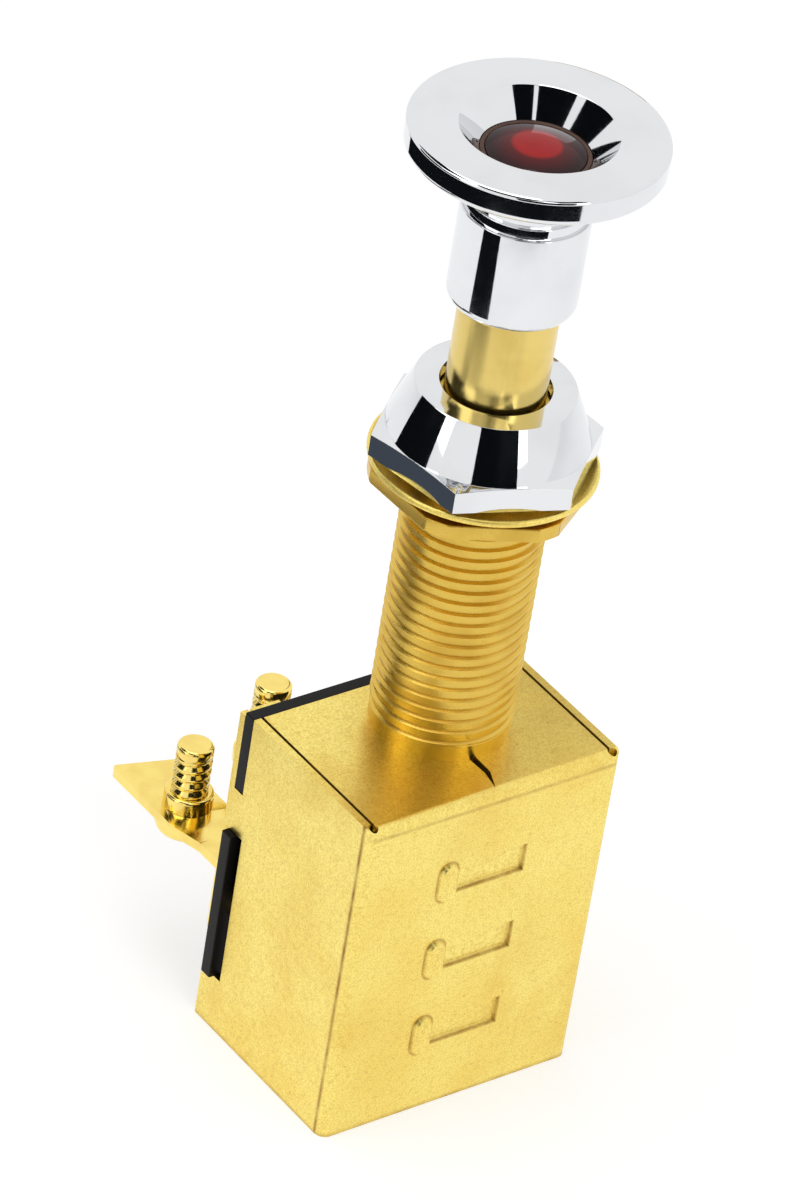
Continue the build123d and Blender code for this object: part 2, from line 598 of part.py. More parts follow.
# Lens: domed red cap, hollow below
with BuildPart() as lens:
    dome_base = RECESS_FLOOR
    with BuildSketch(Plane.XZ):
        with BuildLine():
            Line((0, LENS_BASE + LENS_SKIRT - LENS_WALL), (LENS_RADIUS - LENS_WALL, LENS_BASE + LENS_SKIRT - LENS_WALL))
            Line(
                (LENS_RADIUS - LENS_WALL, LENS_BASE + LENS_SKIRT - LENS_WALL),
                (LENS_RADIUS - LENS_WALL, LENS_BASE),
            )
            Line((LENS_RADIUS - LENS_WALL, LENS_BASE), (LENS_RADIUS, LENS_BASE))
            Line((LENS_RADIUS, LENS_BASE), (LENS_RADIUS, dome_base))
            dome_radius = (LENS_RADIUS**2 + LENS_DOME**2) / (2 * LENS_DOME)
            RadiusArc((LENS_RADIUS, dome_base), (0, dome_base + LENS_DOME), -dome_radius)
            Line((0, dome_base + LENS_DOME), (0, LENS_BASE + LENS_SKIRT - LENS_WALL))
        make_face()
    revolve(axis=Axis.Z)
keep(lens.part, "lens")

# Lamp: glass envelope, base and centre contact, pressed up by a spring in the tube
with BuildPart() as lamp_glass:
    with BuildSketch(Plane.XZ):
        with BuildLine():
            Line((0, LAMP_BASE_TOP), (LAMP_GLASS_RADIUS, LAMP_BASE_TOP))
            shoulder = LAMP_TOP - LAMP_GLASS_RADIUS
            Line((LAMP_GLASS_RADIUS, LAMP_BASE_TOP), (LAMP_GLASS_RADIUS, shoulder))
            RadiusArc((LAMP_GLASS_RADIUS, shoulder), (0, LAMP_TOP), -LAMP_GLASS_RADIUS)
            Line((0, LAMP_TOP), (0, LAMP_BASE_TOP))
        make_face()
    revolve(axis=Axis.Z)
keep(lamp_glass.part, "lamp_glass")

with BuildPart() as lamp_base:
    with BuildSketch(Plane.XY.offset(LAMP_CONTACT_TOP)):
        Circle(LAMP_BASE_RADIUS)
    extrude(amount=LAMP_BASE_LENGTH)
    chamfer(lamp_base.edges().sort_by(Axis.Z)[0], STUD_CHAMFER)
keep(lamp_base.part, "lamp_base")

with BuildPart() as lamp_contact:
    with BuildSketch(Plane.XY.offset(SPRING_TOP)):
        Circle(LAMP_SPRING_RADIUS + SPRING_WIRE)
    extrude(amount=LAMP_CONTACT_HEIGHT / 2)
    with BuildSketch(Plane.XY.offset(SPRING_TOP)):
        Circle(LAMP_CONTACT_RADIUS)
    extrude(amount=LAMP_CONTACT_HEIGHT)
keep(lamp_contact.part, "lamp_contact")

lamp_spring = coil(LAMP_SPRING_RADIUS, SPRING_WIRE, SPRING_BOTTOM, SPRING_TOP, 6)
keep(lamp_spring, "lamp_spring")

with BuildPart() as lamp_insulator:
    with BuildSketch(Plane.XY.offset(SPRING_BOTTOM)):
        Circle(TUBE_BORE - FIT)
        Circle(LEAD_RADIUS + FIT, mode=Mode.SUBTRACT)
    extrude(amount=-INSULATOR_HEIGHT)
keep(lamp_insulator.part, "lamp_insulator")

with BuildPart() as lamp_lead:
    with BuildSketch(Plane.XY.offset(TUBE_BOTTOM)):
        Circle(LEAD_RADIUS)
    extrude(amount=SPRING_BOTTOM - TUBE_BOTTOM)
keep(lamp_lead.part, "lamp_lead")

# Carriage: moulded block held on the tube's spigot by a retaining ring
with BuildPart() as carriage:
    with BuildSketch(Plane.XY.offset(CARRIAGE_Z)):
        with Locations(((CARRIAGE_LEFT + CARRIAGE_RIGHT) / 2, (CARRIAGE_FRONT + CARRIAGE_REAR) / 2)):
            Rectangle(CARRIAGE_RIGHT - CARRIAGE_LEFT, CARRIAGE_REAR - CARRIAGE_FRONT)
    extrude(amount=CARRIAGE_HEIGHT)
    fillet(carriage.edges().filter_by(Axis.Z), BEND_RADIUS)
    with BuildSketch(Plane.XY.offset(CARRIAGE_Z)):
        Circle(SPIGOT_RADIUS + FIT)
    extrude(amount=CARRIAGE_HEIGHT, mode=Mode.SUBTRACT)
    with BuildSketch(Plane.XZ.offset(-CARRIAGE_REAR)):
        with Locations(*[(x, BRIDGE_Z) for x in CONTACT_SPRING_X]):
            Circle(CONTACT_SPRING_RADIUS + SPRING_WIRE)
    extrude(amount=SPRING_POCKET_DEPTH, mode=Mode.SUBTRACT)
    with BuildSketch(Plane.XZ.offset(-CARRIAGE_FRONT)):
        with Locations((0, DETENT_Z)):
            Circle(DETENT_BALL_RADIUS + DETENT_GAP / 2)
    extrude(amount=-DETENT_POCKET_DEPTH, mode=Mode.SUBTRACT)
keep(carriage.part, "carriage")

with BuildPart() as retaining_ring:
    with BuildSketch(Plane.XY.offset(CARRIAGE_Z - RING_HEIGHT)):
        Circle(RING_RADIUS)
        Circle(SPIGOT_RADIUS - GROOVE_DEPTH + FIT, mode=Mode.SUBTRACT)
        with Locations((0, -RING_RADIUS)):
            Rectangle(SPIGOT_RADIUS, RING_RADIUS, mode=Mode.SUBTRACT)
    extrude(amount=RING_HEIGHT)
keep(retaining_ring.part, "retaining_ring")

# Contact bridge: plate that the springs push towards the rivet heads
with BuildPart() as contact_bridge:
    with BuildSketch(Plane.XZ.offset(-BRIDGE_REAR)):
        with Locations((BRIDGE_X, BRIDGE_Z)):
            RectangleRounded(BRIDGE_WIDTH, BRIDGE_HEIGHT, BEND_RADIUS)
    extrude(amount=BRIDGE_THICKNESS)
keep(contact_bridge.part, "contact_bridge")

spring_floor = CARRIAGE_REAR - SPRING_POCKET_DEPTH
contact_coil = coil(CONTACT_SPRING_RADIUS, SPRING_WIRE, 0, BRIDGE_REAR - BRIDGE_THICKNESS - spring_floor, 4)
with BuildPart() as contact_springs:
    for x in CONTACT_SPRING_X:
        with Locations(Plane(origin=(x, spring_floor, BRIDGE_Z), z_dir=(0, 1, 0))):
            add(contact_coil)
keep(contact_springs.part, "contact_springs")

# Detent: ball and spring that click past the ridges of the stamped marks
with BuildPart() as detent_ball:
    with Locations((0, DETENT_Y, DETENT_Z)):
        Sphere(DETENT_BALL_RADIUS)
keep(detent_ball.part, "detent_ball")

detent_floor = CARRIAGE_FRONT + DETENT_POCKET_DEPTH
detent_coil = coil(CONTACT_SPRING_RADIUS, SPRING_WIRE, 0, detent_floor - DETENT_Y - DETENT_BALL_RADIUS, 3)
with BuildPart() as detent_spring:
    with Locations(Plane(origin=(0, DETENT_Y + DETENT_BALL_RADIUS, DETENT_Z), z_dir=(0, 1, 0))):
        add(detent_coil)
keep(detent_spring.part, "detent_spring")
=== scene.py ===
"""Push-pull switch on a white bench: turned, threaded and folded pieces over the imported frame."""
import math

import bpy
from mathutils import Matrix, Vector


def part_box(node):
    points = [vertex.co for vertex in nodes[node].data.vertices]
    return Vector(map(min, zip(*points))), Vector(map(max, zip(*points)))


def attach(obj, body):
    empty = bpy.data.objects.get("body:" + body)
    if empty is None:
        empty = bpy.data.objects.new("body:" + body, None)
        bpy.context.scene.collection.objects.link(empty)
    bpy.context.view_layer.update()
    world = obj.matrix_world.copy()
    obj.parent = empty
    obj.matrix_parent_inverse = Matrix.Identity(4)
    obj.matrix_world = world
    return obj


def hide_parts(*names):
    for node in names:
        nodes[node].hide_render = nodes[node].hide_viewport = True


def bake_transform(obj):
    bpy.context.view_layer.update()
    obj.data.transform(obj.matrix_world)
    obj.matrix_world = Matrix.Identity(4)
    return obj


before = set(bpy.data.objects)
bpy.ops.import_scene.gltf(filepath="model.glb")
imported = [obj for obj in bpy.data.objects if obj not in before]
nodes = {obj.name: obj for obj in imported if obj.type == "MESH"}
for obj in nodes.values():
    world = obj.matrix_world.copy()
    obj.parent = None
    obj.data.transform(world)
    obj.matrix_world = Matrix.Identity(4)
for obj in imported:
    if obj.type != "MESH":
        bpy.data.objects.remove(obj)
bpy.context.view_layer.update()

MM = 0.001

# Fineness of the meshes
TURN_STEPS = 160
RIM_STEPS = 192
STUD_STEPS = 64
THREAD_STEPS = 72
ARC_STEPS = 8
CURVE_STEPS = 3 * ARC_STEPS
BEVEL_STEPS = 2
NUT_BEVEL_STEPS = 3
MERGE = 1e-6
FINE_MERGE = MERGE / 10
CAD_MERGE = 2 * MERGE

# Angles past which an edge is sharp, gets a bevel or parts two flat faces
SMOOTH_ANGLE = math.radians(32)
BUSHING_ANGLE = math.radians(25)
STUD_ANGLE = math.radians(70)
NUT_ANGLE = math.radians(28)
LENS_ANGLE = math.radians(50)
BEVEL_ANGLE = math.radians(35)
FLAT_ANGLE = math.radians(0.5)
FLAT_WEIGHT = 100

# Camera, found from the case's corners and the round parts: metres, degrees and, for the lens, millimetres
CAMERA_PLACE = (-0.44876, -0.51084, 0.53347)
CAMERA_TURN = (54.58, -7.735, -35.307)
CAMERA_SENSOR = 24.0
CAMERA_LENS = 155.4
CAMERA_REACH = 20

# Threads
BUSHING_PITCH = 1.411 * MM
BUSHING_THREAD_DEPTH = 0.36 * MM
BUSHING_CREST = 0.12
BUSHING_ROOT = 0.58
STUD_PITCH = 1.15 * MM
STUD_THREAD_DEPTH = 0.36 * MM
STUD_CREST = 0.34
STUD_ROOT = 0.16
STUD_LEAD_IN = 0.5 * MM
STUD_PLAIN_END = 0.9 * MM
THREAD_OVERRUN = 2

# Sizes of the turned pieces, the studs and the nut
CLEARANCE = 0.05 * MM
BORE_CLEARANCE = 0.06 * MM
SHEET = 0.9 * MM
NECK_HEIGHT = 2.0 * MM
NECK_RADIUS = 7.75 * MM
NECK_EDGE = 0.12 * MM
PEEN_RADIUS = 7.0 * MM
PEEN_EDGE = 0.2 * MM
TENON_RADIUS = 6.7 * MM
TERMINAL_COLLAR = 2.0 * MM
TAB_SHEET = 1.2 * MM
STUD_RADIUS = 2.08 * MM
STUD_RISE = 8.2 * MM
STUD_FROM_BOARD = 11.1 * MM
HEAD_RADIUS = 3.4 * MM
HEAD_HEIGHT = 2.2 * MM
NUT_FLATS = 22.2 * MM
NUT_TURN = math.radians(38.8 - 90)
NUT_BAND = 2.5 * MM
NUT_LEDGE = 0.4 * MM
NUT_BULGE = 0.06 * MM
NUT_TOP_RADIUS = 8.7 * MM
NUT_LIP = 1.4 * MM
NUT_HOLE_RADIUS = 6.05 * MM
COLLAR_EDGE = 1.4 * MM
COLLAR_MOUTH_EDGE = 0.3 * MM
COLLAR_STEP = 0.35 * MM
COLLAR_STEP_HEIGHT = 1.2 * MM
COLLAR_STEP_EDGE = 0.15 * MM
FLARE_PULL = 0.62
FLARE_DROP = 0.09
RIM_THICKNESS = 3.2 * MM
RIM_EDGE_LOWER = 0.9 * MM
RIM_EDGE_UPPER = 0.5 * MM
RECESS_TOP_RADIUS = 8.5 * MM
RECESS_DEPTH = 2.8 * MM
RECESS_EDGE = 0.3 * MM
LENS_DOME = 1.1 * MM
LENS_WALL = 1.1 * MM
LENS_RING_EDGE = 0.15 * MM
TUBE_WALL = 0.9 * MM
SPIGOT_RADIUS = 3.6 * MM
SPIGOT_EDGE = 0.15 * MM
SHOULDER_EDGE = 0.2 * MM
GROOVE_DEPTH = 0.45 * MM
WASHER_THICKNESS = 0.8 * MM
WASHER_KNEE = 10.06 * MM
WASHER_HOLE_EDGE = 0.1 * MM
WASHER_RIM_EDGE = 0.25 * MM

# Marks and bends of the case
FRONT_FACE = -13.85 * MM
BEND_RADIUS = 1.3 * MM
MARK_DEPTH = 0.5 * MM
MARK_FIRST = 10.5 * MM
MARK_PITCH = 10.55 * MM
MARK_ROWS = 3
BAR_MIDDLE = -1.0 * MM
BAR_HALF_LENGTH = 4.5 * MM
BAR_HALF_HEIGHT = 1.85 * MM
BAR_WALL = 0.35 * MM
PILL_MIDDLE = -7.0 * MM
PILL_RADIUS = 1.3 * MM
PILL_HALF_STRAIGHT = 1.35 * MM
MARK_LINE = 0.26 * MM
BEND_LINE = 0.42 * MM
EDGE_LINE = 0.7 * MM

# Rounded edges of the dressed pieces and the bezel nut
SHEET_EDGE = 0.1 * MM
NUT_EDGE = 0.16 * MM
TAB_EDGE = 0.14 * MM


def deselect():
    """Leave nothing selected, so that the next operator acts on its own piece alone."""
    bpy.ops.object.select_all(action="DESELECT")


def active(piece):
    """Make one piece the only selected and active one."""
    deselect()
    piece.select_set(True)
    bpy.context.view_layer.objects.active = piece


def named(name):
    """Name the piece that was just added, and its mesh."""
    piece = bpy.context.object
    piece.name = name
    piece.data.name = name
    return piece


def settle(piece):
    """Put the piece's place into its mesh, so that its object sits at the origin."""
    active(piece)
    bpy.ops.object.transform_apply(location=True, rotation=True, scale=True)


def apply_modifier(piece, kind, **settings):
    """Add one modifier, set it and apply it."""
    active(piece)
    modifier = piece.modifiers.new(kind.lower(), kind)
    for key, value in settings.items():
        setattr(modifier, key, value)
    bpy.ops.object.modifier_apply(modifier=modifier.name)


def close_up(piece):
    """Merge doubles and turn all faces outwards."""
    active(piece)
    bpy.ops.object.mode_set(mode="EDIT")
    bpy.ops.mesh.select_all(action="SELECT")
    bpy.ops.mesh.remove_doubles(threshold=FINE_MERGE)
    bpy.ops.mesh.normals_make_consistent(inside=False)
    bpy.ops.object.mode_set(mode="OBJECT")


def smooth(piece, angle=SMOOTH_ANGLE, flat=True):
    """Smooth shading with sharp edges kept and, if asked, the large faces left flat."""
    active(piece)
    bpy.ops.object.shade_smooth_by_angle(angle=angle)
    if flat:
        apply_modifier(piece, "WEIGHTED_NORMAL", mode="FACE_AREA", weight=FLAT_WEIGHT, keep_sharp=True)


def rounded(corners):
    """Profile of (radius, height) points from (radius, height, fillet) corners of a closed loop."""
    points = []
    count = len(corners)
    for index, (r, z, fillet) in enumerate(corners):
        if not fillet:
            points.append((r, z))
            continue
        before = corners[index - 1]
        after = corners[(index + 1) % count]
        to_before = (before[0] - r, before[1] - z)
        to_after = (after[0] - r, after[1] - z)
        length_before = math.hypot(*to_before)
        length_after = math.hypot(*to_after)
        unit_before = (to_before[0] / length_before, to_before[1] / length_before)
        unit_after = (to_after[0] / length_after, to_after[1] / length_after)
        cosine = unit_before[0] * unit_after[0] + unit_before[1] * unit_after[1]
        half = math.acos(max(-1, min(1, cosine))) / 2
        reach = fillet / math.tan(half)
        bisector = (unit_before[0] + unit_after[0], unit_before[1] + unit_after[1])
        scale = fillet / math.sin(half) / math.hypot(*bisector)
        centre = (r + bisector[0] * scale, z + bisector[1] * scale)
        first = math.atan2(z + unit_before[1] * reach - centre[1], r + unit_before[0] * reach - centre[0])
        last = math.atan2(z + unit_after[1] * reach - centre[1], r + unit_after[0] * reach - centre[0])
        sweep = (last - first + math.pi) % (2 * math.pi) - math.pi
        for step in range(ARC_STEPS + 1):
            angle = first + sweep * step / ARC_STEPS
            points.append((centre[0] + fillet * math.cos(angle), centre[1] + fillet * math.sin(angle)))
    return points


def turned(name, profile, closed=True, steps=TURN_STEPS):
    """Turn a profile of (radius, height) points about Z, ring by ring, as on a lathe.

    A closed profile is a ring with a bore. An open one gets a flat disc at each of its ends.
    """
    points = list(profile)
    if closed:
        points.append(points[0])
    radius, height = points[0]
    fill = "NOTHING" if closed else "NGON"
    deselect()
    bpy.ops.mesh.primitive_circle_add(
        vertices=steps, radius=radius, fill_type=fill, location=(0, 0, height)
    )
    piece = named(name)
    settle(piece)
    bpy.ops.object.mode_set(mode="EDIT")
    bpy.ops.mesh.select_all(action="SELECT")
    for next_radius, next_height in points[1:]:
        bpy.ops.mesh.extrude_edges_move(TRANSFORM_OT_translate={"value": (0, 0, next_height - height)})
        factor = next_radius / radius
        bpy.ops.transform.resize(value=(factor, factor, 1), center_override=(0, 0, next_height))
        radius, height = next_radius, next_height
    if not closed:
        bpy.ops.mesh.edge_face_add()
    bpy.ops.object.mode_set(mode="OBJECT")
    close_up(piece)
    return piece


def prism(name, sides, radius, low, high, turn=0.0):
    """Upright bar with a regular section."""
    middle = (low + high) / 2
    deselect()
    bpy.ops.mesh.primitive_cylinder_add(
        vertices=sides, radius=radius, depth=high - low, location=(0, 0, middle), rotation=(0, 0, turn)
    )
    piece = named(name)
    settle(piece)
    return piece


def cut(piece, tool, operation):
    """Combine a piece with a tool body and remove the tool."""
    apply_modifier(piece, "BOOLEAN", object=tool, operation=operation, solver="EXACT")
    bpy.data.objects.remove(tool, do_unlink=True)
    close_up(piece)


def thread_bar(name, radius, depth, pitch, shares, low, high):
    """Bar with a right-hand thread between two heights, closed by flat ends.

    The shares are the parts of the pitch that the flat crest and the flat root take. The helix starts
    half a step off, so that the vertices of its seam stay clear of the plane that cuts the low end.
    """
    half_crest = pitch * shares[0] / 2
    half_root = pitch * shares[1] / 2
    root = radius - depth
    tooth = [
        (root, 0),
        (root, half_root),
        (radius, pitch / 2 - half_crest),
        (radius, pitch / 2 + half_crest),
        (root, pitch - half_root),
        (root, pitch),
    ]
    deselect()
    bpy.ops.mesh.primitive_plane_add(size=pitch)
    piece = named(name)
    bpy.ops.object.mode_set(mode="EDIT")
    bpy.ops.mesh.select_all(action="SELECT")
    bpy.ops.mesh.merge(type="CENTER")
    start = low - pitch * (THREAD_OVERRUN + 0.5 / THREAD_STEPS)
    bpy.ops.transform.translate(value=(tooth[0][0], 0, start))
    for (r, z), (next_r, next_z) in zip(tooth, tooth[1:]):
        bpy.ops.mesh.extrude_region_move(TRANSFORM_OT_translate={"value": (next_r - r, 0, next_z - z)})
    bpy.ops.object.mode_set(mode="OBJECT")
    turns = math.ceil((high - low) / pitch) + 2 * THREAD_OVERRUN
    apply_modifier(
        piece,
        "SCREW",
        axis="Z",
        angle=2 * math.pi,
        screw_offset=pitch,
        iterations=turns,
        steps=THREAD_STEPS,
        render_steps=THREAD_STEPS,
        use_merge_vertices=True,
        merge_threshold=MERGE,
    )
    active(piece)
    bpy.ops.object.mode_set(mode="EDIT")
    bpy.ops.mesh.select_all(action="SELECT")
    bpy.ops.mesh.remove_doubles(threshold=MERGE)
    for height, direction in ((low, -1), (high, 1)):
        bpy.ops.mesh.select_all(action="SELECT")
        bpy.ops.mesh.bisect(
            plane_co=(0, 0, height), plane_no=(0, 0, direction), use_fill=True, clear_outer=True,
            threshold=FINE_MERGE,
        )
    bpy.ops.object.mode_set(mode="OBJECT")
    close_up(piece)
    return piece


def join(pieces):
    """Join pieces into the first of them."""
    deselect()
    for piece in pieces:
        piece.select_set(True)
    bpy.context.view_layer.objects.active = pieces[0]
    bpy.ops.object.join()
    return pieces[0]


def copy_of(node):
    """Copy of a CAD node with a merged mesh of its own."""
    source = nodes[node]
    deselect()
    piece = source.copy()
    piece.data = source.data.copy()
    bpy.context.scene.collection.objects.link(piece)
    piece.parent = None
    piece.name = f"{node}_dressed"
    piece.data.name = piece.name
    active(piece)
    bpy.ops.object.mode_set(mode="EDIT")
    bpy.ops.mesh.select_all(action="SELECT")
    bpy.ops.mesh.remove_doubles(threshold=CAD_MERGE)
    bpy.ops.object.mode_set(mode="OBJECT")
    return piece


def dressed(node, edge, whole_faces):
    """Copy of a CAD node with small rounded edges, its flat faces first made whole where asked."""
    piece = copy_of(node)
    if whole_faces:
        bpy.ops.object.mode_set(mode="EDIT")
        bpy.ops.mesh.dissolve_limited(angle_limit=FLAT_ANGLE)
        bpy.ops.object.mode_set(mode="OBJECT")
    apply_modifier(
        piece, "BEVEL", width=edge, segments=BEVEL_STEPS, limit_method="ANGLE", angle_limit=BEVEL_ANGLE,
        use_clamp_overlap=True,
    )
    smooth(piece)
    return piece


def stands_for(piece, node, body, finish):
    """Give a new piece its finish and its body, and hide the CAD node that it stands for."""
    piece.data.materials.clear()
    piece.data.materials.append(finish)
    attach(piece, body)
    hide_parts(node)


# Colours of the finishes
SHEET_PALE = (1.0, 0.84, 0.25, 1)
SHEET_GOLD = (0.97, 0.76, 0.20, 1)
SHEET_GRAIN = (0.76, 0.51, 0.09, 1)
SHEET_MOTTLE = (0.62, 0.40, 0.07, 1)
SHEET_SMUDGE = (0.74, 0.46, 0.07, 1)
SHEET_SPECK = (0.50, 0.30, 0.06, 1)
# Brown of the painted shade in the case's marks, bends and edges
PAINTED_SHADE_BROWN = (0.27, 0.105, 0.012, 1)
TURNED_GOLD = (0.745, 0.507, 0.096, 1)
TURNED_STAIN = (0.635, 0.396, 0.06, 1)
TUBE_GOLD = (0.80, 0.61, 0.19, 1)
TUBE_STAIN = (0.70, 0.49, 0.12, 1)
TAB_GOLD = (0.97, 0.76, 0.22, 1)
TAB_CLOUD = (0.72, 0.44, 0.10, 1)
CHROME_BRIGHT = (0.775, 0.785, 0.80, 1)
CHROME_HAZE = (0.735, 0.745, 0.76, 1)
LAMINATE_BLACK = (0.004, 0.004, 0.005, 1)
LAMINATE_LAYER = (0.012, 0.011, 0.010, 1)
LENS_DEEP = (0.018, 0.001, 0.002, 1)
# Painted light: colours of the lens's halo and bright middle over the lamp
LENS_PAINTED_HALO = (0.11, 0.004, 0.005, 1)
LENS_PAINTED_GLOW = (0.42, 0.006, 0.006, 1)

# Strength of the painted shade in the marks, bends and edges
BAR_SHADE = 0.55
# Extra painted shade on the bars' lower walls and right ends, from this share of the half length
BAR_LOWER_RIGHT_SHADE = 0.42
BAR_RIGHT_SHADE_FROM = 0.7
PILL_SHADE = 0.62
TOP_BEND_SHADE = 0.45
EDGE_SHADE = 0.5

# Depth of the finest relief
STROKE_RELIEF = 0.03 * MM
GRAIN_RELIEF = 0.04 * MM
PEEL_RELIEF = 0.05 * MM


# Finishes
class Value:
    """A shader socket with arithmetic: an expression on values adds its Math nodes."""

    def __init__(self, finish, socket):
        self.finish = finish
        self.socket = socket

    def math(self, operation, other, swapped=False):
        first, second = (other, self) if swapped else (self, other)
        return self.finish.node("ShaderNodeMath", {"operation": operation}, {0: first, 1: second})

    def __add__(self, other):
        return self.math("ADD", other)

    __radd__ = __add__

    def __sub__(self, other):
        return self.math("SUBTRACT", other)

    def __rsub__(self, other):
        return self.math("SUBTRACT", other, swapped=True)

    def __mul__(self, other):
        return self.math("MULTIPLY", other)

    __rmul__ = __mul__

    def __truediv__(self, other):
        return self.math("DIVIDE", other)

    def __pow__(self, other):
        return self.math("POWER", other)

    def __mod__(self, other):
        return self.math("FLOORED_MODULO", other)

    def __abs__(self):
        return self.math("ABSOLUTE", 0.0)

    def larger(self, other):
        """The larger of two values."""
        return self.math("MAXIMUM", other)

    def beside(self, output):
        """Another output of the same node."""
        return Value(self.finish, self.socket.node.outputs[output])


class Nodes:
    """A node tree under construction."""

    def __init__(self, owner):
        owner.use_nodes = True
        self.tree = owner.node_tree

    def node(self, kind, settings=None, inputs=None, output=0):
        """Add any node: its settings first, then values or links for its sockets."""
        made = self.tree.nodes.new(kind)
        for key, value in (settings or {}).items():
            setattr(made, key, value)
        for key, value in (inputs or {}).items():
            if isinstance(value, Value):
                self.tree.links.new(value.socket, made.inputs[key])
            else:
                made.inputs[key].default_value = value
        return Value(self, made.outputs[output])

    def seen(self):
        """1 for rays from the camera, mirrors and glass, 0 for the light that falls on things."""
        camera = self.node("ShaderNodeLightPath")
        return camera + camera.beside("Is Glossy Ray") + camera.beside("Is Transmission Ray")

    def blend(self, factor, first, second):
        """Mix of two colours."""
        return self.node(
            "ShaderNodeMix", {"data_type": "RGBA"}, {0: factor, 6: first, 7: second}, output=2
        )


class Finish(Nodes):
    """A surface finish on the Principled shader."""

    def __init__(self, name, **constants):
        self.material = bpy.data.materials.new(name)
        super().__init__(self.material)
        self.shader = self.tree.nodes["Principled BSDF"]
        for socket, value in constants.items():
            self.shader.inputs[socket.replace("_", " ")].default_value = value

    def place(self):
        """Object coordinates of the surface."""
        return self.node("ShaderNodeTexCoord", output="Object")

    def stretched(self, scale):
        """Object coordinates scaled along each axis."""
        return self.node("ShaderNodeMapping", None, {"Vector": self.place(), "Scale": scale})

    def noise(self, vector, scale, detail=3.0, roughness=0.5):
        """Noise between 0 and 1."""
        return self.node(
            "ShaderNodeTexNoise", None,
            {"Vector": vector, "Scale": scale, "Detail": detail, "Roughness": roughness},
        )

    def between(self, value, low, high):
        """Map a value from its range to 0 to 1, with soft ends."""
        return self.node(
            "ShaderNodeMapRange", {"interpolation_type": "SMOOTHSTEP"},
            {"Value": value, "From Min": low, "From Max": high},
        )

    def bump(self, height, strength, distance):
        """Normal from a height."""
        return self.node(
            "ShaderNodeBump", None, {"Strength": strength, "Distance": distance, "Height": height}
        )

    def set(self, **values):
        """Feed the shader's own sockets."""
        for socket, value in values.items():
            self.tree.links.new(value.socket, self.shader.inputs[socket.replace("_", " ")])
        return self.material


def stamped_shade(finish, place):
    """Painted shade: brown lines in the walls of the front's pressed marks, heavier on their lower and
    right walls, and along the bends and the right and foot edges, from the marks' own places.
    """
    x = finish.node("ShaderNodeSeparateXYZ", None, {0: place})
    y = x.beside("Y")
    z = x.beside("Z")
    low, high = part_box("case")
    on_front = 1 - finish.between(y, FRONT_FACE, FRONT_FACE + MARK_DEPTH * 2)
    rows_low = MARK_FIRST - MARK_PITCH / 2
    rows_high = MARK_FIRST + (MARK_ROWS - 0.5) * MARK_PITCH
    row = (z - rows_low) % MARK_PITCH - MARK_PITCH / 2
    over_foot = finish.between(z, rows_low, rows_low + MARK_LINE)
    under_top = 1 - finish.between(z, rows_high - MARK_LINE, rows_high)
    across = abs(x - BAR_MIDDLE) - BAR_HALF_LENGTH
    upright = abs(row) - BAR_HALF_HEIGHT
    bar = 1 - finish.between(abs(across.larger(upright) + BAR_WALL / 2), 0.0, MARK_LINE)
    # Painted shade heavier on the lower wall and the right end of each bar
    shaded_side = (1 - finish.between(row, -BAR_HALF_HEIGHT, 0.0)).larger(
        finish.between(x, BAR_MIDDLE + BAR_HALF_LENGTH * BAR_RIGHT_SHADE_FROM, BAR_MIDDLE + BAR_HALF_LENGTH)
    )
    bar = bar * (BAR_SHADE + BAR_LOWER_RIGHT_SHADE * shaded_side)
    beyond = (abs(row) - PILL_HALF_STRAIGHT).larger(0.0)
    aside = x - PILL_MIDDLE
    reach = (aside * aside + beyond * beyond) ** 0.5 - PILL_RADIUS
    pill = (1 - finish.between(abs(reach), 0.0, MARK_LINE)) * PILL_SHADE
    marks = on_front * over_foot * under_top * bar.larger(pill)
    # Painted shade along the side and top bends and at the right and foot edges
    side_bend = (1 - finish.between(abs(y - (FRONT_FACE + BEND_RADIUS)), 0.0, BEND_LINE)) * (
        1 - finish.between(x, low[0], low[0] + BEND_RADIUS / 4)
    )
    top_bend = (1 - finish.between(abs(z - (high[2] - BEND_RADIUS)), 0.0, BEND_LINE)) * on_front
    right_edge = (1 - finish.between(high[0] - x, 0.0, EDGE_LINE)) * on_front
    foot_edge = 1 - finish.between(z - low[2], 0.0, EDGE_LINE)
    bends = side_bend.larger(top_bend * TOP_BEND_SHADE)
    edges = right_edge.larger(foot_edge) * EDGE_SHADE
    # Patchy noise that varies the strength of the painted shade
    shade_patches = finish.between(finish.noise(place, scale=420.0), 0.3, 0.7)
    return (marks * (0.6 + 0.4 * shade_patches)).larger(bends.larger(edges) * (0.5 + 0.5 * shade_patches))


